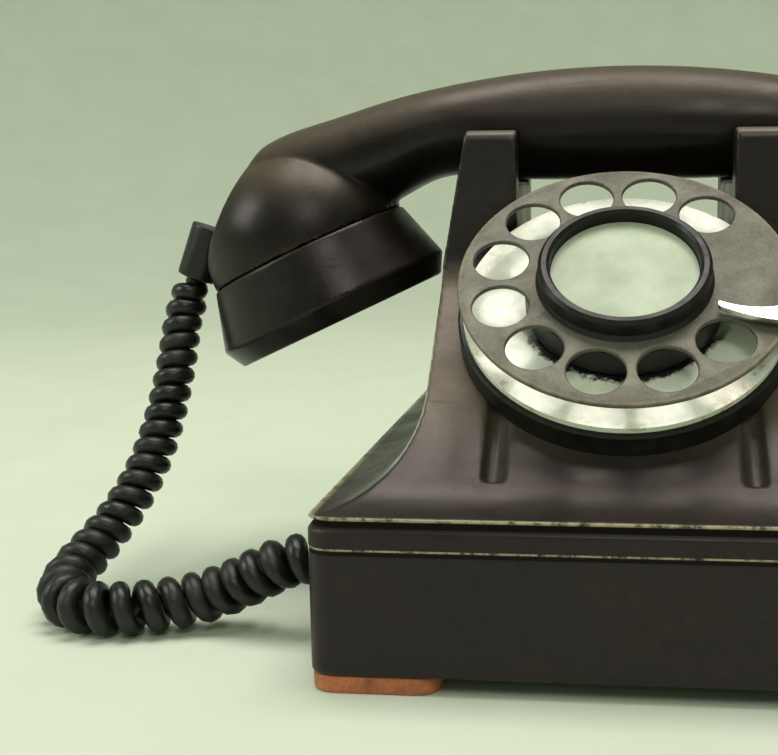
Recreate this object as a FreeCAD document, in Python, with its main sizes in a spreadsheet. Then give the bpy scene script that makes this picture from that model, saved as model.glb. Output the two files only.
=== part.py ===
import FreeCAD, Part
import math
import os
import Sketcher
from FreeCAD import Rotation, Vector

# A desk telephone with a rotary dial: a plinth with a flared tower, a tilted dial, and a
# handset that lies across two pairs of cradle horns.
# Frame: Z is up, X is to the right of a person at the dial, and -Y faces that person.
# The origin is on the table, in the middle of the telephone.

DIMENSIONS = {
    # plinth, base and feet
    "plinth_half_width": 66.5, "plinth_half_depth": 90, "plinth_bottom": 3.9, "plinth_top": 38.4,
    "plinth_corner": 5.5, "wall": 3, "groove_depth": 1.2, "lip_groove": 35.9,
    "lip_groove_width": 1.8, "trim_groove": 30.2, "trim_groove_width": 1, "base_gap": 0.4,
    "base_thickness": 1.5, "foot_size": 28, "foot_inset": 0.4, "foot_round": 5,
    "boss_x": 55, "boss_y": 30, "boss_radius": 4, "screw_radius": 1.4,
    # tower and cradle
    "tower_half_width": 45, "side_cove": 21.5, "taper_start": 88, "ear_half_width": 39.3,
    "ear_inner": 26.6, "horn_front": 27, "horn_inner": 18, "horn_top": 120, "horn_blend": 7.7,
    "horn_round": 3, "seat_height": 106.9, "saddle_height": 96, "front_reach": 7.8,
    "back_top": 88, "back_start": 30, "back_slope": 52, "back_reach": 20.5, "inner_top": 90,
    "flute_x": 27.8, "flute_radius": 3.2, "flute_level": 1.6,
    # dial
    "dial_tilt": 39.6, "dial_y": -41.8, "dial_height": 73.2,
    "bezel_radius": 38.8, "bezel_inner": 35.6, "bezel_height": 6.2, "dial_hole": 33.6,
    "plate_radius": 37.5, "plate_thickness": 1.5, "wheel_radius": 38.1, "wheel_top": 16,
    "wheel_thickness": 1.2, "finger_hole": 6.44, "finger_circle": 29.07, "first_hole": 48.3,
    "ring_outer": 19.5, "ring_inner": 16.9, "ring_top": 21.2, "card_top": 17.9,
    "hub_radius": 22.8, "shaft_radius": 3, "stop_angle": -19.5, "stop_thickness": 1.3,
    "back_plate": -21,
    "main_teeth": 48, "pinion_teeth": 12, "train_teeth": 36, "governor_teeth": 12,
    "main_module": 0.7, "train_module": 0.6, "gear_level": -9, "gear_width": 2.6,
    "train_level": -14.3, "pinion_angle": 200, "governor_angle": -30, "rotor_radius": 7.6,
    # handset
    "arch_radius": 250, "arch_top": 137.3, "handle_bottom": 108.4, "handle_half_width": 15.5,
    "head_x": 77, "head_z": 70.2, "head_tilt": 25, "cap_face": 30, "cap_rim": 33,
    "cap_rim_height": 5.5, "cap_groove": 28.2, "cap_depth": 21.2, "cap_inside": 25,
    "bowl_radius": 27.8, "bowl_height": 22, "capsule_radius": 24, "collar_inside": 22.4,
    "end_x": 103, "end_z": 105, "end_lean": -25,
    # cord
    "cord_radius": 6.5, "cord_entry_y": -57.5, "cord_entry_z": 19.6, "cord_entry_x": -68,
    # cradle switch
    "plunger_x": 33, "plunger_radius": 3, "plunger_top": 108.3, "yoke_bottom": 80,
    # ringer
    "gong_x": 27, "gong_y": 46, "gong_radius": 21.5, "gong_level": 24, "gong_rise": 12,
    "pivot_y": 22, "striker_height": 28, "striker_radius": 3.6, "winding_radius": 9,
    "winding_x": 11.5, "winding_y": 2, "frame_level": 5.4,
}

# The middle line of the curly cord, from the plinth's left side to the boot under a head.
CORD_ROUTE = [
    (-68.3, -57.5, 19.6), (-76.6, -57.5, 19.6), (-84.2, -56, 16), (-91.6, -54.4, 11.8),
    (-100, -53.8, 8.2), (-108.4, -56.8, 6.9), (-117, -60.4, 6.8), (-127.4, -61.8, 6.8),
    (-136.4, -56, 7), (-140, -45.8, 9), (-136.2, -35.6, 14.6), (-130.8, -27.2, 23),
    (-126.6, -18.8, 34), (-124.1, -11.8, 47.2), (-122.8, -6.4, 60), (-122.3, -2.6, 70),
    (-121, -0.4, 76), (-118.9, 0, 81.4),
]

doc = FreeCAD.newDocument("desk_telephone")
sheet = doc.addObject("Spreadsheet::Sheet", "Dims")
for row, (alias, number) in enumerate(DIMENSIONS.items(), start=1):
    sheet.set(f"A{row}", alias)
    sheet.set(f"B{row}", str(number))
    sheet.setAlias(f"B{row}", alias)
doc.recompute()


class Size:
    """A length or an angle: its value now, and the sheet expression that gives it."""

    def __init__(self, value, text):
        self.value = float(value)
        self.text = text

    def __add__(self, other):
        other = size(other)
        return Size(self.value + other.value, f"({self.text} + {other.text})")

    def __sub__(self, other):
        other = size(other)
        return Size(self.value - other.value, f"({self.text} - {other.text})")

    def __mul__(self, other):
        other = size(other)
        return Size(self.value * other.value, f"({self.text} * {other.text})")

    def __truediv__(self, other):
        other = size(other)
        return Size(self.value / other.value, f"({self.text} / {other.text})")

    def __rsub__(self, other):
        return size(other) - self

    def __neg__(self):
        return size(0) - self

    __radd__ = __add__
    __rmul__ = __mul__

    def sin(self):
        return Size(math.sin(math.radians(self.value)), f"sin({self.text} * 1 deg)")

    def cos(self):
        return Size(math.cos(math.radians(self.value)), f"cos({self.text} * 1 deg)")

    def tan(self):
        return Size(math.tan(math.radians(self.value)), f"tan({self.text} * 1 deg)")


def size(number):
    return number if isinstance(number, Size) else Size(number, f"({float(number)!r})")


class Dimensions:
    """Each attribute is the Size of the sheet's cell of that name."""

    def __getattr__(self, alias):
        return Size(sheet.get(alias), f"Dims.{alias}")


D = Dimensions()
SUBPARTS = []


# Building blocks

def keep(obj, label):
    """Make an object a sub-part, which is written to a file of that name."""
    obj.Label = label
    SUBPARTS.append(obj)
    return obj


def bind(obj, **properties):
    for name, amount in properties.items():
        setattr(obj, name, size(amount).value)
        obj.setExpression(name, size(amount).text)
    return obj


def place(obj, x=0, y=0, z=0, turn=None):
    """Put an object at a point bound to the sheet, with a fixed turn."""
    x, y, z = size(x), size(y), size(z)
    obj.Placement = FreeCAD.Placement(Vector(x.value, y.value, z.value), turn or Rotation())
    for name, amount in (("x", x), ("y", y), ("z", z)):
        obj.setExpression(f"Placement.Base.{name}", amount.text)
    return obj


def arc_between(start, end, radius):
    """The minor arc from start to end, with its centre on the left if the radius is positive."""
    chord = end - start
    half = chord.Length / 2
    left = Vector(-chord.y, chord.x, 0) / chord.Length
    rise = math.sqrt(max(radius * radius - half * half, 0))
    centre = start + chord / 2 + left * math.copysign(rise, radius)
    first, last = (start, end) if radius > 0 else (end, start)
    angles = [math.atan2(p.y - centre.y, p.x - centre.x) for p in (first, last)]
    if angles[1] < angles[0]:
        angles[1] += 2 * math.pi
    return Part.ArcOfCircle(Part.Circle(centre, Vector(0, 0, 1), abs(radius)), *angles)


def constrain(sketch, kind, *where_and_amount):
    *where, amount = where_and_amount
    number = sketch.addConstraint(Sketcher.Constraint(kind, *where, amount.value))
    sketch.setExpression(f"Constraints[{number}]", amount.text)


def draw(sketch, outline):
    """Draw a closed outline of corners (u, v), or (u, v, radius) where an arc leaves one."""
    corners = [tuple(size(number) for number in corner) for corner in outline]
    places = [Vector(corner[0].value, corner[1].value, 0) for corner in corners]
    count = len(corners)
    first_ends = []
    for i, corner in enumerate(corners):
        end = places[(i + 1) % count]
        if len(corner) == 3:
            sketch.addGeometry(arc_between(places[i], end, corner[2].value))
            first_ends.append(1 if corner[2].value > 0 else 2)
        else:
            sketch.addGeometry(Part.LineSegment(places[i], end))
            first_ends.append(1)
    for i, corner in enumerate(corners):
        following = (i + 1) % count
        sketch.addConstraint(
            Sketcher.Constraint("Coincident", i, 3 - first_ends[i], following, first_ends[following])
        )
        constrain(sketch, "DistanceX", -1, 1, i, first_ends[i], corner[0])
        constrain(sketch, "DistanceY", -1, 1, i, first_ends[i], corner[1])
        if len(corner) == 3:
            radius = corner[2] if corner[2].value > 0 else -corner[2]
            constrain(sketch, "Radius", i, radius)


def mirrored(side):
    """The closed outline that has this right side, drawn upwards, and its mirror image."""
    outline = list(side)
    for i in range(len(side) - 1, -1, -1):
        leaving = side[i - 1][2:] if i > 0 else ()
        outline.append((-size(side[i][0]), side[i][1], *leaving))
    outline[len(side) - 1] = side[-1][:2]
    return outline


def rounded(half_u, half_v, corner):
    """A rectangle about the origin with round corners."""
    half_u, half_v = size(half_u), size(half_v)
    in_u, in_v = half_u - corner, half_v - corner
    return [
        (half_u, -in_v), (half_u, in_v, corner), (in_u, half_v), (-in_u, half_v, corner),
        (-half_u, in_v), (-half_u, -in_v, corner), (-in_u, -half_v), (in_u, -half_v, corner),
    ]


def sketch_body(name, plane, outline):
    body = doc.addObject("PartDesign::Body", name)
    face = next(f for f in body.Origin.OriginFeatures if f.Role == plane)
    sketch = body.newObject("Sketcher::SketchObject", name + "_sketch")
    sketch.AttachmentSupport = [(face, "")]
    sketch.MapMode = "FlatFace"
    draw(sketch, outline)
    return body, sketch


def slab(name, outline, thickness, plane="XY_Plane", both_ways=False):
    """An outline made thick: upwards from the plane, or half each way."""
    body, sketch = sketch_body(name, plane, outline)
    pad = body.newObject("PartDesign::Pad", name + "_pad")
    pad.Profile = (sketch, [""])
    pad.Midplane = both_ways
    bind(pad, Length=thickness)
    return body


def turned(name, outline):
    """An outline of (radius, height) corners turned once about the Z axis."""
    body, sketch = sketch_body(name, "XZ_Plane", outline)
    turning = body.newObject("PartDesign::Revolution", name + "_turning")
    turning.Profile = (sketch, [""])
    turning.ReferenceAxis = (sketch, ["V_Axis"])
    turning.Angle = 360
    return body


def ring(name, inner, outer, low, high):
    return turned(name, [(inner, low), (outer, low), (outer, high), (inner, high)])


def rod(name, radius, length, x=0, y=0, z=0, turn=None):
    return place(bind(doc.addObject("Part::Cylinder", name), Radius=radius, Height=length),
                 x, y, z, turn)


def block(name, x_range, y_range, z_range):
    box = doc.addObject("Part::Box", name)
    spans = [(size(low), size(high)) for low, high in (x_range, y_range, z_range)]
    bind(box, Length=spans[0][1] - spans[0][0], Width=spans[1][1] - spans[1][0],
         Height=spans[2][1] - spans[2][0])
    return place(box, *(low for low, high in spans))


def ball(name, radius, x, y, z):
    return place(bind(doc.addObject("Part::Sphere", name), Radius=radius), x, y, z)


def fuse(name, *parts):
    joined = doc.addObject("Part::MultiFuse", name)
    joined.Shapes = list(parts)
    return joined


def common(name, *parts):
    shared = doc.addObject("Part::MultiCommon", name)
    shared.Shapes = list(parts)
    return shared


def cut(name, base, *tools):
    result = doc.addObject("Part::Cut", name)
    result.Base = base
    result.Tool = tools[0] if len(tools) == 1 else fuse(name + "_tools", *tools)
    return result


def group(label, parts):
    """Identical pieces in one node, as separate solids."""
    together = doc.addObject("Part::Compound", label)
    together.Links = list(parts)
    return keep(together, label)


def on_dial(x, y, level):
    """The point at (x, up the slope, out of the slope) from the middle of the dial's seat."""
    tilt = D.dial_tilt
    x, y, level = size(x), size(y), size(level)
    return (x, D.dial_y + y * tilt.cos() - level * tilt.sin(),
            D.dial_height + y * tilt.sin() + level * tilt.cos())


def dial_turn(spin=0):
    return Rotation(Vector(1, 0, 0), D.dial_tilt.value) * Rotation(Vector(0, 0, 1), spin)


def set_on_dial(obj, x=0, y=0, level=0, spin=0):
    return place(obj, *on_dial(x, y, level), dial_turn(spin))


def polar(radius, angle):
    return radius * size(angle).cos(), radius * size(angle).sin()


# Housing

def front_outline():
    """The telephone's outline from the front: plinth, coved sides, tapering tower."""
    return mirrored([
        (D.plinth_half_width, D.plinth_bottom),
        (D.plinth_half_width, D.plinth_top, -D.side_cove),
        (D.tower_half_width, D.plinth_top + D.side_cove),
        (D.tower_half_width, D.taper_start),
        (D.ear_half_width, D.horn_top),
    ])


def slope_y(height):
    """Where the dial's slope is at a height."""
    return D.dial_y + (height - D.dial_height) / D.dial_tilt.tan()


def back_y(height):
    return D.back_start + (D.back_top - height) / D.back_slope.tan()


def side_outline():
    """The outline from the side: dial slope in front, steep back, a pair of horns on top."""
    tilt, back = D.dial_tilt, D.back_slope
    horn_foot = D.dial_height + (-D.horn_front - D.dial_y) * tilt.tan()
    front_radius = D.front_reach / (tilt / 2).tan()
    back_radius = D.back_reach / (back / 2).tan()
    horn_radius = D.horn_blend / ((90 - tilt) / 2).tan()
    front_corner, back_corner = slope_y(D.plinth_top), back_y(D.plinth_top)
    shoulder, inside = D.horn_top - D.horn_round, D.horn_inner + D.horn_round
    return [
        (-D.plinth_half_depth, D.plinth_bottom),
        (D.plinth_half_depth, D.plinth_bottom),
        (D.plinth_half_depth, D.plinth_top),
        (back_corner + D.back_reach, D.plinth_top, -back_radius),
        (back_corner - D.back_reach * back.cos(), D.plinth_top + D.back_reach * back.sin()),
        (D.horn_front, D.back_top + (D.back_start - D.horn_front) * back.tan()),
        (D.horn_front, shoulder, D.horn_round),
        (D.horn_front - D.horn_round, D.horn_top),
        (inside, D.horn_top, D.horn_round),
        (D.horn_inner, shoulder),
        (D.horn_inner, D.seat_height),
        (-D.horn_inner, D.seat_height),
        (-D.horn_inner, shoulder, D.horn_round),
        (-inside, D.horn_top),
        (D.horn_round - D.horn_front, D.horn_top, D.horn_round),
        (-D.horn_front, shoulder),
        (-D.horn_front, horn_foot + D.horn_blend, -horn_radius),
        (-D.horn_front - D.horn_blend * tilt.cos(), horn_foot - D.horn_blend * tilt.sin()),
        (front_corner + D.front_reach * tilt.cos(),
         D.plinth_top + D.front_reach * tilt.sin(), -front_radius),
        (front_corner - D.front_reach, D.plinth_top),
        (-D.plinth_half_depth, D.plinth_top),
    ]


def inner_front_outline():
    half_width = D.plinth_half_width - D.wall
    return mirrored([
        (half_width, 0),
        (half_width, D.plinth_top - D.wall + 0.2, -(D.side_cove + D.wall)),
        (D.tower_half_width - D.wall, D.plinth_top + D.side_cove),
        (D.tower_half_width - D.wall, D.inner_top),
    ])


def inner_side_outline():
    """The hollow inside, seen from the side."""
    half_depth, ceiling = D.plinth_half_depth - D.wall, D.plinth_top - D.wall
    front_gap = D.wall / D.dial_tilt.sin()
    back_gap = D.wall / D.back_slope.sin()
    ledge = D.plinth_top + D.wall
    return [
        (-half_depth, 0), (half_depth, 0), (half_depth, ceiling),
        (back_y(ledge) - back_gap + 2 * D.wall, ceiling),
        (back_y(ledge) - back_gap, ledge),
        (back_y(D.inner_top) - back_gap, D.inner_top),
        (slope_y(D.inner_top) + front_gap, D.inner_top),
        (slope_y(ledge) + front_gap, ledge),
        (slope_y(ledge) + front_gap - D.wall, ceiling),
        (-half_depth, ceiling),
    ]


def groove(name, level, width):
    """A frame that cuts a groove round the plinth."""
    around = block(name + "_around", (-D.plinth_half_width - 5, D.plinth_half_width + 5),
                   (-D.plinth_half_depth - 5, D.plinth_half_depth + 5), (0, width))
    core = slab(name + "_core", rounded(D.plinth_half_width - D.groove_depth,
                                        D.plinth_half_depth - D.groove_depth,
                                        D.plinth_corner), width)
    return place(cut(name, around, core), 0, 0, level)


def bosses():
    return [(x, y) for x in (-D.boss_x, D.boss_x) for y in (-D.boss_y, D.boss_y)]


def make_housing():
    width, depth = 2 * D.plinth_half_width + 10, 2 * D.plinth_half_depth + 10
    outside = common(
        "housing_outside",
        slab("front_view", front_outline(), depth, "XZ_Plane", True),
        slab("side_view", side_outline(), width, "YZ_Plane", True),
        slab("top_view", rounded(D.plinth_half_width, D.plinth_half_depth, D.plinth_corner),
             D.horn_top + 5),
    )
    hollow = common(
        "housing_hollow",
        slab("inner_front_view", inner_front_outline(), depth, "XZ_Plane", True),
        slab("inner_side_view", inner_side_outline(), width, "YZ_Plane", True),
    )
    gap_back = back_y(D.saddle_height)
    saddle_gap = slab("saddle_gap", [
        (slope_y(D.dial_height), D.dial_height), (slope_y(D.saddle_height), D.saddle_height),
        (gap_back, D.saddle_height), (back_y(D.back_top), D.back_top),
        (D.horn_front + 9, D.back_top), (D.horn_front + 9, D.horn_top + 5),
        (slope_y(D.dial_height), D.horn_top + 5),
    ], 2 * D.ear_inner, "YZ_Plane", True)
    dial_recess = set_on_dial(rod("dial_recess", D.bezel_radius + 0.5, 40))
    dial_hole = set_on_dial(rod("dial_hole", D.dial_hole, 20), level=-15)
    flutes = []
    for name, side in (("left", -1), ("right", 1)):
        flute = rod(f"flute_{name}", D.flute_radius, 26, turn=Rotation())
        down_slope = dial_turn() * Rotation(Vector(1, 0, 0), 90)
        place(flute, *on_dial(side * D.flute_x, -20, D.flute_level), down_slope)
        flutes.append(flute)
    across = Rotation(Vector(0, 1, 0), 90)
    rearward = Rotation(Vector(1, 0, 0), -90)
    openings = [
        rod("cord_hole", 6, 8, D.cord_entry_x, D.cord_entry_y, D.cord_entry_z, across),
        rod("inlet_hole", 5, 8, 0, D.plinth_half_depth - 6, 16, rearward),
    ]
    for side in (-1, 1):
        x = side * D.plunger_x
        openings.append(rod(f"bush_seat_{side + 1}", 4.6, 5, x, 0, D.seat_height - 3.9))
        openings.append(rod(f"plunger_hole_{side + 1}", 3.4, 30, x, 0, D.seat_height - 25))
    shell = cut(
        "housing_shell", outside, hollow, saddle_gap, dial_recess, dial_hole, *flutes, *openings,
        groove("lip_groove_cut", D.lip_groove, D.lip_groove_width),
        groove("trim_groove_cut", D.trim_groove, D.trim_groove_width),
    )
    posts = [
        cut(f"boss_{i}", rod(f"boss_body_{i}", D.boss_radius, D.plinth_top - 10, x, y, 8),
            rod(f"boss_bore_{i}", D.screw_radius + 0.1, 12, x, y, 7))
        for i, (x, y) in enumerate(bosses())
    ]
    keep(fuse("housing", shell, *posts), "housing")


# Base

def make_base():
    inside = D.wall + D.base_gap
    plate = place(slab("base_blank", rounded(D.plinth_half_width - inside,
                                             D.plinth_half_depth - inside, D.foot_round),
                       D.base_thickness), 0, 0, D.plinth_bottom)
    reach = D.foot_size / 2
    foot_x = D.plinth_half_width - D.foot_inset - reach
    foot_y = D.plinth_half_depth - D.foot_inset - reach
    feet, studs, stud_holes, screws, screw_holes = [], [], [], [], []
    for i, (x, y) in enumerate((sx * foot_x, sy * foot_y) for sx in (-1, 1) for sy in (-1, 1)):
        pad = slab(f"foot_blank_{i}", rounded(reach, reach, D.foot_round), D.plinth_bottom)
        bore = rod(f"foot_bore_{i}", 2.1, D.plinth_bottom, x, y, 0)
        countersink = rod(f"foot_sink_{i}", 4.2, 2.6, x, y, 0)
        feet.append(cut(f"foot_{i}", place(pad, x, y, 0), bore, countersink))
        head = rod(f"stud_head_{i}", 4, 1.4, x, y, 1.1)
        studs.append(fuse(f"stud_{i}", head, rod(f"stud_shank_{i}", 2, 7, x, y, 2)))
        stud_holes.append(rod(f"stud_hole_{i}", 2, 10, x, y, 0))
    for i, (x, y) in enumerate(bosses()):
        head = rod(f"screw_head_{i}", 3.2, 1, x, y, D.plinth_bottom - 1)
        screws.append(fuse(f"screw_{i}", head, rod(f"screw_shank_{i}", D.screw_radius, 12,
                                                  x, y, D.plinth_bottom - 0.5)))
        screw_holes.append(rod(f"screw_hole_{i}", D.screw_radius, 10, x, y, 0))
    keep(cut("base_plate", plate, *stud_holes, *screw_holes), "base_plate")
    group("foot_pads", feet)
    group("foot_studs", studs)
    group("base_screws", screws)


# Dial

def make_dial_mount():
    rim = D.bezel_height
    bezel = turned("dial_bezel", [
        (D.bezel_inner, 0), (D.bezel_radius, 0), (D.bezel_radius, rim - 0.5),
        (D.bezel_radius - 0.5, rim), (D.plate_radius - 5, rim), (D.plate_radius - 5, rim - 1.2),
        (D.bezel_inner, rim - 1.2),
    ])
    keep(set_on_dial(bezel), "dial_bezel")
    plate = ring("number_plate", 8, D.plate_radius, rim, rim + D.plate_thickness)
    keep(set_on_dial(plate), "number_plate")
    bore, bush = D.shaft_radius + 0.06, 5.5
    frame = turned("dial_frame", [
        (bore, -5), (bush, -5), (bush, -1.6), (D.dial_hole - 0.3, -1.6), (D.dial_hole - 0.3, 0),
        (D.bezel_inner - 0.1, 0), (D.bezel_inner - 0.1, 1.2), (bush, 1.2), (bush, 12.4), (bore, 12.4),
    ])
    keep(set_on_dial(frame), "dial_frame")
    back = ring("dial_back_plate", D.shaft_radius + 0.06, 31, 0, 1.4)
    keep(set_on_dial(back, level=D.back_plate), "dial_back_plate")
    pillars = []
    for i, angle in enumerate((90, 250, 340)):
        x, y = polar(size(28.5), angle)
        pillar = rod(f"pillar_{i}", 2.2, -(D.back_plate + 1.4) - 1.6)
        pillars.append(set_on_dial(pillar, x, y, D.back_plate + 1.4))
    group("dial_pillars", pillars)
    spring = ring("dial_return_spring", 5.9, 14, -5.2, -2.4)
    keep(set_on_dial(spring), "dial_return_spring")
    contacts = slab("pulse_contacts", rounded(9, 4, 1), 6)
    keep(set_on_dial(contacts, 16, -17, D.back_plate + 1.5), "pulse_contacts")


def make_finger_stop():
    """A hooked blade over the finger wheel, on a strap that climbs the outside of the bezel."""
    level = D.wheel_top + 1.3
    out = D.bezel_radius + 0.1
    strap = slab("stop_strap", [
        (out, -3.3), (out + 1.6, -3.3), (out + 1.6, 3.3), (out, 3.3),
    ], level + D.stop_thickness - 0.8)
    set_on_dial(strap, level=0.8, spin=D.stop_angle.value)
    blade = slab("stop_blade", [
        (21.2, -11.9, 34), (37.3, -16.2), (39.4, -10.6), (38.6, -9.6, -20), (20.6, -9.9, 1.2),
    ], D.stop_thickness)
    set_on_dial(blade, level=level)
    keep(fuse("finger_stop", strap, blade), "finger_stop")


def make_finger_wheel():
    wheel = ring("finger_wheel", 2, D.wheel_radius, D.wheel_top - D.wheel_thickness, D.wheel_top)
    doc.recompute()
    face = next(f for f in wheel.Origin.OriginFeatures if f.Role == "XY_Plane")
    hole = wheel.newObject("Sketcher::SketchObject", "finger_hole_sketch")
    hole.AttachmentSupport = [(face, "")]
    hole.MapMode = "FlatFace"
    x, y = polar(D.finger_circle, D.first_hole)
    hole.addGeometry(Part.Circle(Vector(x.value, y.value, 0), Vector(0, 0, 1),
                                 D.finger_hole.value))
    constrain(hole, "DistanceX", -1, 1, 0, 3, x)
    constrain(hole, "DistanceY", -1, 1, 0, 3, y)
    constrain(hole, "Radius", 0, D.finger_hole)
    pocket = wheel.newObject("PartDesign::Pocket", "finger_hole")
    pocket.Profile = (hole, [""])
    pocket.Reversed = True
    bind(pocket, Length=D.wheel_top + 5)
    doc.recompute()
    holes = wheel.newObject("PartDesign::PolarPattern", "finger_holes")
    holes.Originals = [pocket]
    holes.Axis = (hole, ["N_Axis"])
    holes.Angle = 270
    holes.Occurrences = 10
    wheel.Tip = holes
    keep(set_on_dial(wheel), "finger_wheel")
    low, inner = D.wheel_top, D.ring_inner
    retainer = turned("card_retainer", [
        (inner, low), (D.ring_outer + 0.7, low), (D.ring_outer, low + 1.2),
        (D.ring_outer, D.ring_top - 0.8), (D.ring_outer - 0.8, D.ring_top),
        (inner + 0.7, D.ring_top), (inner, D.ring_top - 0.7),
    ])
    keep(set_on_dial(retainer), "card_retainer")
    card_gap = inner - 0.15
    keep(set_on_dial(ring("card_backing", 1, card_gap, low, D.card_top - 0.5)), "card_backing")
    keep(set_on_dial(rod("number_card", card_gap, 0.5), level=D.card_top - 0.5), "number_card")
    under = low - D.wheel_thickness
    keep(set_on_dial(ring("wheel_hub", 14, D.hub_radius, D.bezel_height + 2.2, under)),
         "wheel_hub")
    shaft_low = D.back_plate + 0.2
    shaft = turned("dial_shaft", [
        (0, shaft_low), (D.shaft_radius, shaft_low), (D.shaft_radius, 12.6), (8, 12.6),
        (8, low - D.wheel_thickness), (2, low - D.wheel_thickness), (2, low), (0, low),
    ])
    keep(set_on_dial(shaft), "dial_shaft")


def gear_shape(teeth, module, bore, width, first_tooth):
    """A spur gear with straight-sided teeth and some backlash."""
    pitch_radius = teeth * module / 2
    step = 360 / teeth
    tooth = [(-1.2, -0.29), (0.0, -0.215), (0.85, -0.1), (0.85, 0.1), (0.0, 0.215), (-1.2, 0.29)]
    corners = []
    for i in range(teeth):
        for height, share in tooth:
            angle = math.radians(first_tooth + (i + share) * step)
            radius = pitch_radius + height * module
            corners.append(Vector(radius * math.cos(angle), radius * math.sin(angle), 0))
    blank = Part.Face(Part.makePolygon(corners + corners[:1])).extrude(Vector(0, 0, width))
    return blank.cut(Part.makeCylinder(bore, 2 * width, Vector(0, 0, -width / 2)))


def add_gear(label, teeth, module, bore, width, first_tooth, x, y, level):
    gear = doc.addObject("Part::Feature", label)
    gear.Shape = gear_shape(round(teeth.value), module.value, bore, width.value, first_tooth)
    keep(set_on_dial(gear, x, y, level), label)


def make_gear_train():
    """The shaft's gear turns the pulse pinion, whose train gear turns the governor."""
    slack = 0.1
    first_distance = (D.main_teeth + D.pinion_teeth) * D.main_module / 2 + slack
    next_distance = (D.train_teeth + D.governor_teeth) * D.train_module / 2 + slack
    pinion_x, pinion_y = polar(first_distance, D.pinion_angle)
    step_x, step_y = polar(next_distance, D.governor_angle)
    rotor_x, rotor_y = pinion_x + step_x, pinion_y + step_y
    level, width = D.gear_level, D.gear_width
    angle = D.pinion_angle.value
    pinion_gap = angle + 180 + 180 / D.pinion_teeth.value
    add_gear("main_gear", D.main_teeth, D.main_module, D.shaft_radius.value, width, angle,
             0, 0, level)
    add_gear("pulse_pinion", D.pinion_teeth, D.main_module, 1.2, width, pinion_gap,
             pinion_x, pinion_y, level)
    governor_side = D.governor_angle.value
    add_gear("train_gear", D.train_teeth, D.train_module, 1.2, size(2), governor_side,
             pinion_x, pinion_y, D.train_level)
    add_gear("governor_pinion", D.governor_teeth, D.train_module, 1, size(2),
             governor_side + 180 + 180 / D.governor_teeth.value, rotor_x, rotor_y, D.train_level)
    floor = D.back_plate + 1.5
    keep(set_on_dial(rod("pulse_shaft", 1.2, level + width - floor), pinion_x, pinion_y, floor),
         "pulse_shaft")
    cam = slab("pulse_cam_blank", [(1.3, -1.9), (3.4, -1.9), (3.4, 1.9), (1.3, 1.9, 2.3), (-1.3, 1.9),
                             (-3.4, 1.9), (-3.4, -1.9), (-1.3, -1.9, 2.3)], 2)
    bore = rod("cam_bore", 1.2, 4)
    keep(set_on_dial(cut("pulse_cam_bored", cam, bore), pinion_x, pinion_y, floor + 0.6),
         "pulse_cam")
    rotor = turned("governor_rotor", [
        (0, 0.1), (1, 0.1), (1, 0.5), (D.rotor_radius, 0.5), (D.rotor_radius, 3.2), (1, 3.2),
        (1, D.train_level - floor + 2), (0, D.train_level - floor + 2),
    ])
    keep(set_on_dial(rotor, rotor_x, rotor_y, floor), "governor_rotor")
    cup = ring("governor_cup", D.rotor_radius + 0.5, D.rotor_radius + 1.5, 0, 4)
    keep(set_on_dial(cup, rotor_x, rotor_y, floor - 0.1), "governor_cup")


# Cradle switch

def make_cradle_switch():
    bushes, plungers = [], []
    for i, side in enumerate((-1, 1)):
        x = side * D.plunger_x
        bush = ring(f"bush_{i}", D.plunger_radius + 0.06, 4.5, 0, 3.9)
        bushes.append(place(bush, x, 0, D.seat_height - 3.9))
        low = D.yoke_bottom + 4
        plungers.append(turned(f"plunger_{i}", [
            (0, 0), (D.plunger_radius, 0), (D.plunger_radius, D.plunger_top - low - 0.8, 0.8),
            (D.plunger_radius - 0.8, D.plunger_top - low), (0, D.plunger_top - low),
        ]))
        place(plungers[-1], x, 0, low)
    group("plunger_bushes", bushes)
    group("cradle_plungers", plungers)
    reach = D.plunger_x + 4
    keep(block("hook_yoke", (-reach, reach), (-4, 4), (D.yoke_bottom, D.yoke_bottom + 4)),
         "hook_yoke")
    wall = D.tower_half_width - D.wall - 0.1
    shelf = block("switch_shelf", (-wall, wall), (-6, 6), (60, 62))
    post = rod("switch_post", 2.4, 14, 0, 0, 61)
    keep(fuse("switch_bracket", shelf, post), "switch_bracket")
    keep(ring("hook_spring", 2.7, 4.2, 62.1, D.yoke_bottom - 0.1), "hook_spring")
    leaves = [block(f"switch_leaf_{i}", (12, 34), (-3.2 + 1.8 * i, -2.8 + 1.8 * i), (64, 76))
              for i in range(4)]
    heel = block("switch_heel", (12, 20), (-4, 4), (62, 68))
    keep(fuse("switch_contacts", heel, *leaves), "switch_contacts")


# Ringer

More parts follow.
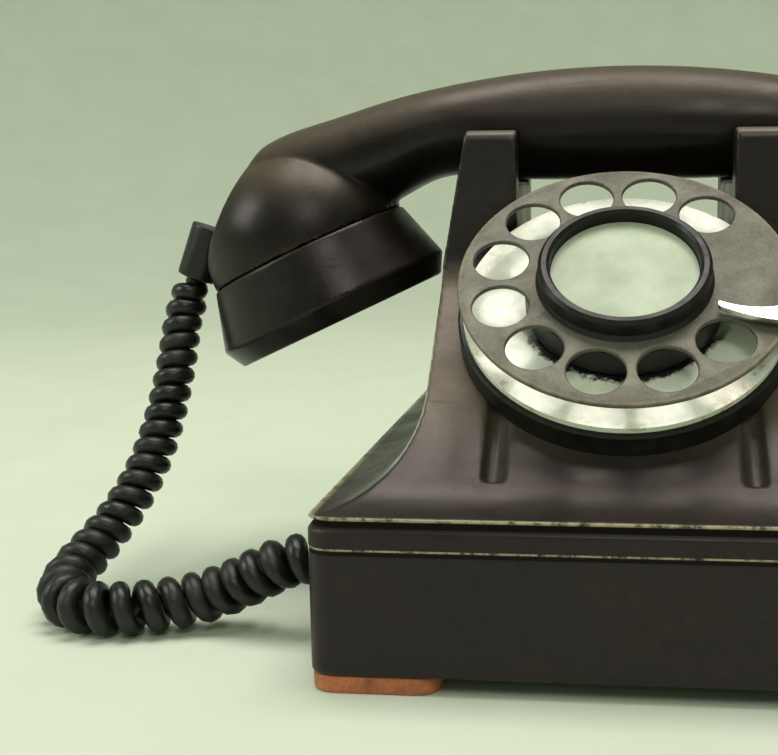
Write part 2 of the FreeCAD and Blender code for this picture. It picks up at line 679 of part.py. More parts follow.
def make_ringer():
    floor = D.frame_level
    plate_top = floor + 1.5
    keep(block("ringer_frame", (-34, 34), (-10, 56), (floor, plate_top)), "ringer_frame")
    windings, cores = [], []
    for i, side in enumerate((-1, 1)):
        x = side * D.winding_x
        winding = ring(f"winding_{i}", 3, D.winding_radius, 0, 24)
        windings.append(place(winding, x, D.winding_y, plate_top + 3))
        cores.append(rod(f"core_{i}", 3, 31, x, D.winding_y, plate_top))
    group("ringer_windings", windings)
    group("ringer_cores", cores)
    keep(block("ringer_magnet", (-17, 17), (D.winding_y - 6, D.winding_y + 6),
               (plate_top + 31, plate_top + 35)), "ringer_magnet")
    radius, rise, sheet_metal = D.gong_radius, D.gong_rise, 1.4
    dome_radius = (radius * radius + rise * rise) / (2 * rise)
    inner_radius, inner_rise = radius - sheet_metal, rise - sheet_metal
    inner_dome = (inner_radius * inner_radius + inner_rise * inner_rise) / (2 * inner_rise)
    posts, screws = [], []
    for i, (label, side) in enumerate((("gong_left", -1), ("gong_right", 1))):
        x = side * D.gong_x
        gong = turned(f"{label}_blank", [
            (0, inner_rise, -inner_dome), (inner_radius, 0), (radius, 0, dome_radius), (0, rise),
        ])
        screw_hole = rod(f"{label}_hole", 1.6, 30)
        keep(place(cut(f"{label}_drilled", gong, screw_hole), x, D.gong_y, D.gong_level), label)
        crown = D.gong_level + rise
        posts.append(cut(f"gong_post_{i}", rod(f"gong_post_body_{i}", 3, crown - 1.7 - plate_top,
                                               x, D.gong_y, plate_top),
                         rod(f"gong_post_bore_{i}", 1.5, 30, x, D.gong_y, crown - 10)))
        screws.append(fuse(f"gong_screw_{i}", rod(f"gong_screw_head_{i}", 3.5, 1.8, x, D.gong_y, crown),
                           rod(f"gong_screw_shank_{i}", 1.5, 9, x, D.gong_y, crown - 8)))
    group("gong_posts", posts)
    group("gong_screws", screws)
    keep(rod("clapper_pin", 1.2, 26, 0, D.pivot_y, plate_top), "clapper_pin")
    middle = D.striker_height
    hub = rod("clapper_hub", 3.2, 8, 0, D.pivot_y, middle - 4)
    arm = rod("clapper_arm", 1, D.gong_y - D.pivot_y, 0, D.pivot_y, middle,
              Rotation(Vector(1, 0, 0), -90))
    striker = ball("striker", D.striker_radius, 0, D.gong_y, middle)
    armature = block("armature", (-15, 15), (D.pivot_y - 8, D.pivot_y - 5), (middle - 4, middle + 4))
    neck = block("armature_neck", (-2, 2), (D.pivot_y - 6, D.pivot_y - 1), (middle - 4, middle + 4))
    keep(cut("clapper", fuse("clapper_body", hub, arm, striker, armature, neck),
             rod("clapper_bore", 1.26, 12, 0, D.pivot_y, middle - 6)), "clapper")


# Electrical parts on the base

def make_electrics():
    floor = D.frame_level
    core = block("transformer_core", (-57, -35), (-60, -38), (floor, floor + 6))
    limb = block("transformer_limb", (-50, -42), (-60, -38), (floor + 5, floor + 22))
    cap = block("transformer_cap", (-57, -35), (-60, -38), (floor + 20, floor + 24))
    keep(fuse("induction_core", core, limb, cap), "induction_core")
    winding = slab("induction_blank", rounded(9.5, 10, 3), 13)
    window = slab("induction_window", rounded(4.3, 11.5, 0.4), 13)
    keep(place(cut("induction_winding", winding, window), -46, -49, floor + 6.6),
         "induction_winding")
    keep(block("condenser", (37, 57), (-72, -38), (floor, floor + 22)), "condenser")
    keep(block("terminal_block", (-22, 22), (-80, -67), (floor, floor + 8)), "terminal_block")
    terminals = [rod(f"terminal_{i}", 2.4, 1.6, -17.5 + 7 * i, -73.5, floor + 8) for i in range(6)]
    group("terminal_screws", terminals)
    grommet = ring("cord_grommet", 2.6, 5.9, 0, 5)
    flange = ring("cord_grommet_flange", 2.6, 7.6, 0, 1.4)
    keep(place(fuse("handset_cord_grommet", grommet, flange), D.cord_entry_x, D.cord_entry_y,
               D.cord_entry_z, Rotation(Vector(0, 1, 0), 90)), "handset_cord_grommet")
    inlet = turned("line_cord_inlet", [(2.5, 0), (4.9, 0), (4.9, 4), (2.5, 4)])
    keep(place(inlet, 0, D.plinth_half_depth - 4, 16, Rotation(Vector(1, 0, 0), -90)),
         "line_cord_inlet")


# Handset

def handle_section(x, top, bottom, half_width):
    """A closed curve across the handle: full above the middle, narrower below."""
    points = []
    middle = bottom + 0.43 * (top - bottom)
    steps = 16
    for i in range(steps):
        angle = 2 * math.pi * i / steps
        across, up = math.cos(angle), math.sin(angle)
        power = 0.95 if up > 0 else 0.8
        y = half_width * math.copysign(abs(across) ** power, across) * (1 - 0.4 * max(-up, 0))
        reach = top - middle if up > 0 else middle - bottom
        points.append(Vector(x, y, middle + reach * math.copysign(abs(up) ** power, up)))
    curve = Part.BSplineCurve()
    curve.interpolate(Points=points, PeriodicFlag=True)
    return Part.Wire(curve.toShape())


def handle_shape():
    """The arched handle, from the table of half stations (x, bottom, half width)."""
    arch, crown = D.arch_radius.value, D.arch_top.value
    bottom, width = D.handle_bottom.value, D.handle_half_width.value
    half = [(0, bottom, width), (28, bottom, width), (50, bottom, width), (62, bottom - 6, width),
            (80, bottom - 10, width), (97, bottom - 12, width - 0.8), (105, bottom - 10, width - 4)]
    stations = [(-x, low, wide) for x, low, wide in reversed(half[1:])] + half
    sections = []
    for x, low, wide in stations:
        top = crown - arch + math.sqrt(arch * arch - x * x)
        if abs(x) > 100:
            top -= 6
        sections.append(handle_section(x, top, low, wide))
    return Part.makeLoft(sections, True, False)


def head_turn(side):
    return Rotation(Vector(0, 1, 0), side * D.head_tilt.value)


def on_head(side, height):
    """The point on a head's axis at this height above the middle of its cap's face."""
    return (side * (D.head_x + height * D.head_tilt.sin()), 0,
            D.head_z + height * D.head_tilt.cos())


def make_cap(label, side, hole_rings):
    cap = turned(f"{label}_blank", [
        (0, 1.2), (18, 1.2), (22, 0), (D.cap_face, 0), (D.cap_rim, D.cap_rim_height),
        (D.cap_groove, D.cap_depth), (D.cap_inside, D.cap_depth), (D.cap_inside, 3.2), (0, 3.2),
    ])
    holes = [rod(f"{label}_hole_{distance}_{i}", 1.3, 8,
                 distance * math.cos(2 * math.pi * i / count),
                 distance * math.sin(2 * math.pi * i / count), -2)
             for distance, count in hole_rings for i in range(count)]
    keep(place(cut(f"{label}_drilled", cap, *holes), *on_head(side, size(0)), head_turn(side)),
         label)


def make_handset():
    handle = doc.addObject("Part::Feature", "handle")
    handle.Shape = handle_shape()
    radius, level, top = D.bowl_radius, D.bowl_height, D.cap_depth + 0.15
    bowls, cavities, collars, spring_plates = [], [], [], []
    for i, side in enumerate((-1, 1)):
        at, turn = on_head(side, size(0)), head_turn(side)
        bowls.append(place(turned(f"bowl_{i}", [
            (0, top), (radius, top), (radius, level, radius), (0, level + radius),
        ]), *at, turn))
        cavities.append(place(ring(f"bowl_cavity_{i}", 0, D.collar_inside, -30, 24), *at, turn))
        collars.append(place(ring(f"collar_{i}", D.collar_inside, D.cap_inside - 0.15, 17, top + 1),
                             *at, turn))
        plate = ring(f"contact_plate_{i}", 2, D.collar_inside - 0.3, 20, 21.6)
        spring_plates.append(place(plate, *at, turn))
        below = ring(f"below_{i}", 0, 45, -20, top)
        cavities.append(place(below, *at, turn))
    ends = []
    for i, side in enumerate((-1, 1)):
        end = slab(f"end_cut_{i}", [(0, -40), (30, -40), (30, 40), (0, 40)], 120, both_ways=True)
        lean = Rotation(Vector(0, 1, 0), D.end_lean.value if side > 0 else 180 - D.end_lean.value)
        ends.append(place(end, side * D.end_x, 0, D.end_z, lean))
    outside = cut("handset_outside", fuse("handle_with_bowls", handle, *bowls), *ends)
    trimmed = cut("handset_trimmed", outside, *cavities)
    keep(fuse("handset_shell", trimmed, *collars), "handset_shell")
    make_cap("transmitter_cap", -1, ((7, 6), (13, 12)))
    make_cap("receiver_cap", 1, ((0, 1), (7, 6)))
    for label, side in (("transmitter_capsule", -1), ("receiver_capsule", 1)):
        capsule = turned(label, [
            (0, 3.4), (D.capsule_radius, 3.4), (D.capsule_radius, 9), (17, 12), (17, 16.5), (0, 16.5),
        ])
        keep(place(capsule, *on_head(side, size(0)), head_turn(side)), label)
    group("capsule_contact_plates", spring_plates)
    last_run = Vector(*CORD_ROUTE[-1]) - Vector(*CORD_ROUTE[-2])
    last_run.normalize()
    boot_end = Vector(*CORD_ROUTE[-1]) + last_run * 0.3
    boot_start = boot_end + last_run * 15
    boot = turned("boot_blank", [
        (0, 0), (6, 0), (5.3, (boot_end - boot_start).Length), (0, (boot_end - boot_start).Length),
    ])
    place(boot, boot_start.x, boot_start.y, boot_start.z,
          Rotation(Vector(0, 0, 1), boot_end - boot_start))
    keep(cut("handset_cord_boot_fitted", boot, outside), "handset_cord_boot")


# Cord

def rounded_path(points):
    """Straight runs joined by tangent arcs as large as the runs allow, and the arcs' radii."""
    edges, radii = [], []
    start = points[0]
    for before, corner, after in zip(points, points[1:], points[2:]):
        arriving, leaving = corner - before, after - corner
        turn = arriving.getAngle(leaving)
        reach = 0.45 * min(arriving.Length, leaving.Length)
        radius = reach / math.tan(turn / 2)
        arriving.normalize()
        leaving.normalize()
        first, last = corner - arriving * reach, corner + leaving * reach
        inward = leaving - arriving
        inward.normalize()
        centre = corner + inward * (radius / math.cos(turn / 2))
        middle = centre - inward * radius
        edges.append(Part.LineSegment(start, first).toShape())
        edges.append(Part.Arc(first, middle, last).toShape())
        radii.append(radius)
        start = last
    edges.append(Part.LineSegment(start, points[-1]).toShape())
    return Part.Wire(edges), radii


def make_cord():
    points = [Vector(*point) for point in CORD_ROUTE]
    path, radii = rounded_path(points)
    radius = D.cord_radius.value
    section = Part.Wire(Part.makeCircle(radius, points[0], points[1] - points[0]))
    cord = doc.addObject("Part::Feature", "handset_cord")
    cord.Shape = path.makePipeShell([section], True, True)
    keep(cord, "handset_cord")
    expected = math.pi * radius * radius * path.Length
    print("cord radii", [round(r, 1) for r in radii])
    print(f"cord length {path.Length:.1f}, volume {cord.Shape.Volume / expected:.4f} of section x length")


make_housing()
make_base()
make_dial_mount()
make_finger_stop()
make_finger_wheel()
make_gear_train()
make_cradle_switch()
make_ringer()
make_electrics()
make_handset()
make_cord()
doc.recompute()

failed = [obj.Name for obj in doc.Objects if {"Invalid", "Error"} & set(obj.State)]
if failed:
    raise RuntimeError(f"not computed: {failed}")
for obj in SUBPARTS:
    if obj.Shape.isNull() or not obj.Shape.isValid() or not obj.Shape.Solids:
        raise RuntimeError(f"{obj.Label} is not a valid solid")
os.makedirs("parts", exist_ok=True)
for obj in SUBPARTS:
    obj.Shape.exportStep(f"parts/{obj.Label}.step")
print(f"{len(SUBPARTS)} sub-parts written")
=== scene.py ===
"""Looks of a corded rotary desk telephone: camera, cord, pieces, materials and studio."""

import math

import bmesh
import bpy
from mathutils import Matrix, Vector


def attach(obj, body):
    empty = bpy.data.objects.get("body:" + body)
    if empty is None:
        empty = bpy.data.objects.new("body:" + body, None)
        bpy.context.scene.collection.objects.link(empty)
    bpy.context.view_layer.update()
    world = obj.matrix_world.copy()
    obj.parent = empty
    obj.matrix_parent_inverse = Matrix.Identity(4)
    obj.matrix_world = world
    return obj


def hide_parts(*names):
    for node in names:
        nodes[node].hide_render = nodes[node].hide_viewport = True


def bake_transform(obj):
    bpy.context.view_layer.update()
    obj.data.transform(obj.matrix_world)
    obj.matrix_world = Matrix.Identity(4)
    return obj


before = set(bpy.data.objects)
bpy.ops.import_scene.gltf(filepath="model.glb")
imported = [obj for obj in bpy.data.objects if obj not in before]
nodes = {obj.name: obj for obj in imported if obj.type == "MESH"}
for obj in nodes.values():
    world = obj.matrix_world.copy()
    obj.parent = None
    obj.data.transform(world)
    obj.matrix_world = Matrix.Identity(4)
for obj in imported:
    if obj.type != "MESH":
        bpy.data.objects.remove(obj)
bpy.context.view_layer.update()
scene = bpy.context.scene
MM = 0.001


# ---------------------------------------------------------------- camera

CAMERA_AT = Vector((-0.0016, -0.3292, 0.1052))
CAMERA_YAW, CAMERA_PITCH, CAMERA_ROLL = 6.38, 8.74, -0.5
LENS, SENSOR, SHIFT_X = 56.167, 36.0, -0.12


def add_camera():
    """The camera stands in front of the telephone, turned a little left and down."""
    yaw, pitch, roll = (math.radians(a) for a in (CAMERA_YAW, CAMERA_PITCH, CAMERA_ROLL))
    forward = Vector(
        (-math.sin(yaw) * math.cos(pitch), math.cos(yaw) * math.cos(pitch), -math.sin(pitch))
    )
    level = Vector((math.cos(yaw), math.sin(yaw), 0))
    upright = level.cross(forward)
    right = level * math.cos(roll) + upright * math.sin(roll)
    up = upright * math.cos(roll) - level * math.sin(roll)
    data = bpy.data.cameras.new("camera")
    data.sensor_fit = "HORIZONTAL"
    data.sensor_width = SENSOR
    data.lens = LENS
    data.shift_x = SHIFT_X
    data.clip_start = 0.01
    camera = bpy.data.objects.new("camera", data)
    turn = Matrix((right, up, -forward)).transposed().to_4x4()
    camera.matrix_world = Matrix.Translation(CAMERA_AT) @ turn
    scene.collection.objects.link(camera)
    scene.camera = camera


# ---------------------------------------------------------------- materials

DIAL_TILT = math.radians(39.6)
DIAL_SEAT = (0.0, -0.0418, 0.0732)
DIAL_UP = (0.0, math.cos(DIAL_TILT), math.sin(DIAL_TILT))


class Look:
    """A procedural material round one Principled shader, with its noise in millimetres."""

    def __init__(self, name, **fixed):
        self.material = bpy.data.materials.new(name)
        self.material.use_nodes = True
        self.tree = self.material.node_tree
        self.shader = self.tree.nodes["Principled BSDF"]
        self.place = self.add("ShaderNodeTexCoord").outputs["Object"]
        self.height = None
        for socket, value in fixed.items():
            self.shader.inputs[socket.replace("_", " ")].default_value = value

    def add(self, kind, **settings):
        node = self.tree.nodes.new(kind)
        for key, value in settings.items():
            setattr(node, key, value)
        return node

    def feed(self, socket, value):
        """Joins an output to a socket, or sets the socket to a plain value."""
        if isinstance(value, bpy.types.NodeSocket):
            self.tree.links.new(value, socket)
        elif isinstance(value, tuple) and len(value) == 3 and socket.type == "RGBA":
            socket.default_value = (*value, 1)
        else:
            socket.default_value = value

    def stretched(self, x, y, z):
        """The place with its axes scaled, for grain that runs one way."""
        node = self.add("ShaderNodeMapping")
        self.feed(node.inputs["Vector"], self.place)
        node.inputs["Scale"].default_value = (x, y, z)
        return node.outputs["Vector"]

    def noise(self, size, detail=3.0, rough=0.55, twist=0.0, place=None):
        """Noise whose features are about size millimetres across."""
        node = self.add("ShaderNodeTexNoise")
        self.feed(node.inputs["Vector"], place or self.place)
        node.inputs["Scale"].default_value = 1 / (size * MM)
        node.inputs["Detail"].default_value = detail
        node.inputs["Roughness"].default_value = rough
        node.inputs["Distortion"].default_value = twist
        return node.outputs["Fac"]

    def cells(self, size, feature="F1", place=None):
        node = self.add("ShaderNodeTexVoronoi", feature=feature)
        self.feed(node.inputs["Vector"], place or self.place)
        node.inputs["Scale"].default_value = 1 / (size * MM)
        return node.outputs["Distance"]

    def spread(self, value, low, high, to_low=0.0, to_high=1.0):
        """Value from low..high, clamped, to to_low..to_high."""
        node = self.add("ShaderNodeMapRange")
        self.feed(node.inputs["Value"], value)
        for socket, number in zip(("From Min", "From Max", "To Min", "To Max"),
                                  (low, high, to_low, to_high)):
            node.inputs[socket].default_value = number
        return node.outputs["Result"]

    def sum(self, kind, a, b=0.5):
        node = self.add("ShaderNodeMath", operation=kind)
        self.feed(node.inputs[0], a)
        self.feed(node.inputs[1], b)
        return node.outputs[0]

    def mix(self, factor, a, b, kind="MIX"):
        """Colour a, and b where factor is 1."""
        node = self.add("ShaderNodeMix", data_type="RGBA", blend_type=kind)
        self.feed(node.inputs["Factor"], factor)
        self.feed(node.inputs[6], a)
        self.feed(node.inputs[7], b)
        return node.outputs[2]

    def axis(self, letter, of=None):
        node = self.add("ShaderNodeSeparateXYZ")
        self.feed(node.inputs[0], of or self.place)
        return node.outputs[letter]

    def facing(self, letter):
        """How far the surface faces along an axis, -1 to 1."""
        return self.axis(letter, self.add("ShaderNodeNewGeometry").outputs["Normal"])

    def from_dial(self):
        """How far a point lies from the dial's axis, and how far up its face, in metres."""
        away = self.add("ShaderNodeVectorMath", operation="SUBTRACT")
        self.feed(away.inputs[0], self.place)
        away.inputs[1].default_value = DIAL_SEAT
        upward = self.add("ShaderNodeVectorMath", operation="DOT_PRODUCT")
        self.feed(upward.inputs[0], away.outputs[0])
        upward.inputs[1].default_value = DIAL_UP
        sideways = self.axis("X", away.outputs[0])
        climb = upward.outputs["Value"]
        squared = self.sum("ADD", self.sum("MULTIPLY", climb, climb),
                           self.sum("MULTIPLY", sideways, sideways))
        return self.sum("SQRT", squared), climb

    def band(self, letter, middle, half):
        """1 near a level, falling to 0 at half millimetres from it."""
        off = self.sum("ABSOLUTE", self.sum("SUBTRACT", self.axis(letter), middle * MM))
        return self.spread(off, half * 0.6 * MM, half * MM, 1, 0)

    def pointed(self):
        """0.5 on flat ground, more on edges and less in corners."""
        return self.add("ShaderNodeNewGeometry").outputs["Pointiness"]

    def colour(self, value):
        self.feed(self.shader.inputs["Base Color"], value)
        return self

    def roughness(self, value):
        self.feed(self.shader.inputs["Roughness"], value)
        return self

    def bump(self, height, depth, strength=1.0):
        """Raises the surface by up to depth millimetres."""
        node = self.add("ShaderNodeBump")
        node.inputs["Strength"].default_value = strength
        node.inputs["Distance"].default_value = depth * MM
        self.feed(node.inputs["Height"], height)
        if self.height is not None:
            self.feed(node.inputs["Normal"], self.height)
        self.height = node.outputs["Normal"]
        self.feed(self.shader.inputs["Normal"], self.height)
        return self


def bakelite(name, dark, wear_and_painted_light, low, shine=0.27, dull=0.46, shaded_grooves=(), lip_highlights=(), cove_reflection=False):
    """Polished phenolic moulding: nearly black, with a painted brown sheen on upward faces above low,
    rubbed at its edges.

    Groove and lip bands are (level, half height) in millimetres: a groove band is painted shade, a lip
    band painted highlight; the cove switch paints a pale reflection on the side slopes.
    """
    look = Look(name, IOR=1.55, Specular_IOR_Level=0.27, Specular_Tint=(1.0, 0.86, 0.87, 1.0))
    haze = look.spread(look.noise(26, 4, 0.6, 0.6), 0.36, 0.66)
    mottle = look.spread(look.noise(2.6, 6, 0.72), 0.35, 0.75)
    rubbed = look.sum("MULTIPLY", haze, mottle)
    colour = look.mix(rubbed, dark, tuple(0.9 * d + 0.1 * w for d, w in zip(dark, wear_and_painted_light)))
    # Painted sheen: upward faces take the brown sheen colour as if lit from above; below low it fades to
    # 12 %, painted shade on the lower ledge.
    skyward = look.spread(look.facing("Z"), 0.3, 0.75, 0.0, 1.0)
    patchy = look.spread(look.noise(1.6, 6, 0.8), 0.25, 0.75, 0.45, 1.0)
    skyward_sheen = look.sum("MULTIPLY", skyward, patchy)
    skyward_sheen = look.sum("MULTIPLY", skyward_sheen, look.spread(look.axis("Z"), low * MM, (low + 14) * MM, 0.12, 1.0))
    colour = look.mix(skyward_sheen, colour, wear_and_painted_light)
    edges = look.sum("MULTIPLY", look.spread(look.pointed(), 0.515, 0.56),
                     look.spread(look.noise(4, 5, 0.75), 0.42, 0.62))
    colour = look.mix(look.sum("MULTIPLY", edges, 0.6), colour, (0.115, 0.09, 0.06))
    scratch = look.spread(look.noise(1.3, 2, 0.4, 0.0, look.stretched(0.06, 1.0, 1.6)), 0.62, 0.8)
    rough = look.sum("ADD", look.spread(haze, 0, 1, shine, dull), look.sum("MULTIPLY", scratch, 0.12))
    rough = look.sum("ADD", rough, look.sum("MULTIPLY", skyward_sheen, 0.06))
    # Painted highlight: a patchy tan line along each lip, standing for light caught on its edge.
    for level, half in lip_highlights:
        lip_glint = look.sum("MULTIPLY", look.band("Z", level, half),
                            look.spread(look.noise(3.5, 5, 0.8), 0.38, 0.52))
        colour = look.mix(lip_glint, colour, (0.34, 0.30, 0.19))
    # Painted shade: each groove band is painted near-black and made rough, standing for the shade inside
    # the groove.
    for level, half in shaded_grooves:
        grime_and_groove_shade = look.band("Z", level, half)
        colour = look.mix(grime_and_groove_shade, colour, (0.0022, 0.0020, 0.0020))
        rough = look.sum("MAXIMUM", rough, look.sum("MULTIPLY", grime_and_groove_shade, 0.95))
    # Painted reflection: the tower's side slopes are painted pale green, standing for the backdrop
    # reflected in them.
    if cove_reflection:
        sideways = look.spread(look.sum("ABSOLUTE", look.facing("X")), 0.3, 0.5)
        cove_glare = look.sum("MULTIPLY", sideways, look.spread(look.axis("Z"), 43 * MM, 47 * MM))
        cove_glare = look.sum("MULTIPLY", cove_glare, look.spread(look.axis("Z"), 68 * MM, 76 * MM, 1, 0))
        outward = look.sum("ABSOLUTE", look.axis("X"))
        cove_glare = look.sum("MULTIPLY", cove_glare, look.spread(outward, 36 * MM, 40 * MM))
        colour = look.mix(look.sum("MULTIPLY", cove_glare, look.spread(mottle, 0, 1, 0.75, 1)), colour,
                          (0.34, 0.38, 0.28))
    look.colour(colour)
    look.roughness(rough)
    look.bump(look.noise(9, 2), 0.05)
    look.bump(look.noise(0.6, 3, 0.6), 0.02)
    return look.bump(scratch, 0.008)


def black_enamel(name, tone=0.007):
    """Stoved black paint on metal, dusted and chipped."""
    look = Look(name, IOR=1.5, Specular_IOR_Level=0.25)
    patch = look.spread(look.noise(5, 5, 0.65), 0.42, 0.7)
    colour = look.mix(patch, (tone, tone * 0.94, tone * 0.88), (tone * 2.4, tone * 2.1, tone * 1.7))
    chips = look.spread(look.noise(1.4, 5, 0.8), 0.66, 0.72)
    look.colour(look.mix(look.sum("MULTIPLY", chips, 0.5), colour, (0.12, 0.10, 0.07)))
    look.roughness(look.spread(patch, 0, 1, 0.3, 0.52))
    look.bump(look.noise(0.9, 3), 0.02)
    return look


def wheel_metal(name):
    """Satin grey-brown finish of the finger wheel, mottled, with wear at its rim."""
    look = Look(name, IOR=1.5, Metallic=0.3, Specular_IOR_Level=0.35)
    cloud = look.spread(look.noise(11, 5, 0.65, 0.8), 0.35, 0.7)
    fleck = look.spread(look.noise(0.7, 5, 0.78), 0.36, 0.72)
    base = look.mix(cloud, (0.050, 0.047, 0.038), (0.105, 0.102, 0.080))
    base = look.mix(look.sum("MULTIPLY", fleck, 0.45), base, (0.20, 0.19, 0.145))
    radius, _ = look.from_dial()
    rim = look.sum("MULTIPLY", look.spread(radius, 36.9 * MM, 38.1 * MM),
                   look.spread(look.noise(3, 4, 0.7), 0.35, 0.6))
    base = look.mix(look.sum("MULTIPLY", rim, 0.55), base, (0.29, 0.25, 0.17))
    look.colour(base)
    look.roughness(look.spread(cloud, 0, 1, 0.52, 0.42))
    look.bump(look.noise(0.5, 3, 0.7), 0.03)
    return look.bump(look.noise(6, 2), 0.05)


def enamel_plate(name):
    """White vitreous enamel: yellowed, rust-stained at its rim, with painted shade low in the middle by
    the hub, sunk there like chipped enamel.
    """
    look = Look(name, IOR=1.52, Coat_Weight=0.3, Coat_Roughness=0.1)
    age = look.spread(look.noise(16, 4, 0.6), 0.35, 0.7)
    colour = look.mix(age, (0.86, 0.90, 0.80), (0.70, 0.74, 0.60))
    radius, upward = look.from_dial()
    ragged = look.noise(3.4, 6, 0.75)
    rim = look.spread(radius, 32 * MM, 37.4 * MM)
    rust = look.sum("MULTIPLY", look.spread(look.noise(5.5, 6, 0.72, 0.4), 0.52, 0.66), rim)
    colour = look.mix(look.sum("MULTIPLY", rust, 0.85), colour, (0.42, 0.17, 0.05))
    grime_and_groove_shade = look.spread(look.noise(2.4, 5, 0.8), 0.64, 0.70, 0.0, 0.8)
    colour = look.mix(grime_and_groove_shade, colour, (0.12, 0.10, 0.075))
    # Painted shade: inside about 28 mm and low on the dial the plate is painted near-black, standing for
    # the hub's shade; the bump below also sinks it like chipped enamel.
    edge = look.sum("ADD", radius, look.sum("MULTIPLY", ragged, 7 * MM))
    wear_and_painted_light = look.sum("MULTIPLY", look.spread(edge, 27.2 * MM, 28.2 * MM, 1, 0),
                    look.spread(upward, -12 * MM, -3 * MM, 1, 0))
    colour = look.mix(wear_and_painted_light, colour, (0.012, 0.010, 0.011))
    look.colour(colour)
    look.roughness(look.spread(look.noise(2, 4), 0.3, 0.8, 0.18, 0.5))
    look.bump(look.spread(wear_and_painted_light, 0, 1, 1, 0), 0.08)
    return look.bump(look.noise(4, 2), 0.04)


def card_paper(name):
    """Pale card: paper fibre, faint foxing."""
    look = Look(name, IOR=1.45, Coat_Weight=0.25, Coat_Roughness=0.2)
    tone = look.spread(look.noise(9, 5, 0.6), 0.35, 0.7)
    colour = look.mix(tone, (0.42, 0.49, 0.36), (0.31, 0.37, 0.27))
    fox = look.spread(look.noise(2.2, 5, 0.7), 0.66, 0.76)
    colour = look.mix(look.sum("MULTIPLY", fox, 0.5), colour, (0.36, 0.31, 0.19))
    look.colour(colour)
    look.roughness(look.spread(tone, 0, 1, 0.5, 0.66))
    fibre = look.noise(0.35, 4, 0.75, 0.0, look.stretched(1, 0.35, 1))
    return look.bump(fibre, 0.05)


def metal(name, light, dark, rough=0.3, grain=(1, 1, 1), cloud=6.0, tarnish=None, depth=0.012):
    """Plain or plated metal with clouded tarnish and a fine grain."""
    look = Look(name, Metallic=1.0)
    patch = look.spread(look.noise(cloud, 5, 0.65, 0.4), 0.35, 0.72)
    colour = look.mix(patch, light, dark)
    if tarnish:
        spots = look.spread(look.noise(cloud * 0.35, 6, 0.75), 0.6, 0.74)
        colour = look.mix(look.sum("MULTIPLY", spots, 0.7), colour, tarnish)
    look.colour(colour)
    look.roughness(look.spread(patch, 0, 1, rough, min(1.0, rough + 0.22)))
    return look.bump(look.noise(0.45, 3, 0.65, 0.0, look.stretched(*grain)), depth)


def leather(name):
    """Red-brown leather foot: pebbled grain, pores, scuffed."""
    look = Look(name, IOR=1.46, Sheen_Weight=0.15, Sheen_Roughness=0.5)
    cloud = look.spread(look.noise(7, 5, 0.6, 0.3), 0.36, 0.68)
    colour = look.mix(cloud, (0.50, 0.15, 0.055), (0.24, 0.075, 0.035))
    scuff = look.spread(look.noise(1.8, 5, 0.8), 0.56, 0.76)
    colour = look.mix(look.sum("MULTIPLY", scuff, 0.55), colour, (0.44, 0.22, 0.12))
    grain = look.cells(0.9)
    # Painted shade: the pits of the pebbled grain, where the bump sinks, are painted darker.
    pit_shade = look.spread(grain, 0.0, 0.35, 1, 0)
    colour = look.mix(look.sum("MULTIPLY", pit_shade, 0.4), colour, (0.06, 0.022, 0.014))
    look.colour(colour)
    look.roughness(look.spread(cloud, 0, 1, 0.5, 0.74))
    look.bump(grain, 0.14)
    return look.bump(look.noise(2.5, 3), 0.12)


def cord_rubber(name, tone=0.0045):
    """Moulded black rubber jacket, clouded in tone, flecked with dust."""
    look = Look(name, IOR=1.5, Specular_IOR_Level=0.4)
    cloud = look.spread(look.noise(9, 4, 0.6), 0.38, 0.68)
    colour = look.mix(cloud, (tone, tone, tone * 0.95), (tone * 2.4, tone * 2.3, tone * 2.1))
    dust = look.spread(look.noise(0.7, 4, 0.8), 0.56, 0.8, 0.0, 0.35)
    look.colour(look.mix(dust, colour, (0.12, 0.12, 0.10)))
    look.roughness(look.spread(cloud, 0, 1, 0.3, 0.52))
    look.bump(look.noise(0.5, 3, 0.6), 0.04)
    return look.bump(look.noise(3, 2), 0.06)


def wound_wire(name, along="Z", gap=0.22):
    """Enamelled copper wire in close layers, with its turns as fine ridges and painted shade between
    them.
    """
    look = Look(name, IOR=1.5, Metallic=0.6, Coat_Weight=0.4, Coat_Roughness=0.15)
    turns = look.sum("SINE", look.sum("MULTIPLY", look.axis(along), 2 * math.pi / (gap * MM)), 0)
    patch = look.spread(look.noise(5, 4), 0.35, 0.7)
    colour = look.mix(patch, (0.42, 0.13, 0.04), (0.22, 0.06, 0.02))
    # Painted shade: the troughs between turns are painted near-black.
    look.colour(look.mix(look.spread(turns, -1, 0.2, 0.55, 0), colour, (0.03, 0.012, 0.006)))
    look.roughness(look.spread(patch, 0, 1, 0.25, 0.4))
    return look.bump(turns, 0.1)


def board(name, light, dark, grain=(1, 1, 1)):
    """Pressed fibre or paper board: layered, matt, with stray fibres."""
    look = Look(name, IOR=1.48)
    cloud = look.spread(look.noise(5, 6, 0.7), 0.35, 0.7)
    look.colour(look.mix(cloud, light, dark))
    look.roughness(look.spread(cloud, 0, 1, 0.55, 0.8))
    return look.bump(look.noise(0.4, 4, 0.75, 0.0, look.stretched(*grain)), 0.06)


# ---------------------------------------------------------------- shapes

def new_piece(name, mesh, look, smooth=True):
    piece = bpy.data.objects.new(name, mesh)
    scene.collection.objects.link(piece)
    mesh.materials.clear()
    mesh.materials.append(look.material)
    mesh.polygons.foreach_set("use_smooth", [smooth] * len(mesh.polygons))
    return piece


def baked(piece):
    """The piece's mesh with its modifiers applied."""
    seen = piece.evaluated_get(bpy.context.evaluated_depsgraph_get())
    mesh = bpy.data.meshes.new_from_object(seen)
    piece.modifiers.clear()
    piece.data = mesh
    return piece


def copy_of(node, name, look):
    return new_piece(name, nodes[node].data.copy(), look)


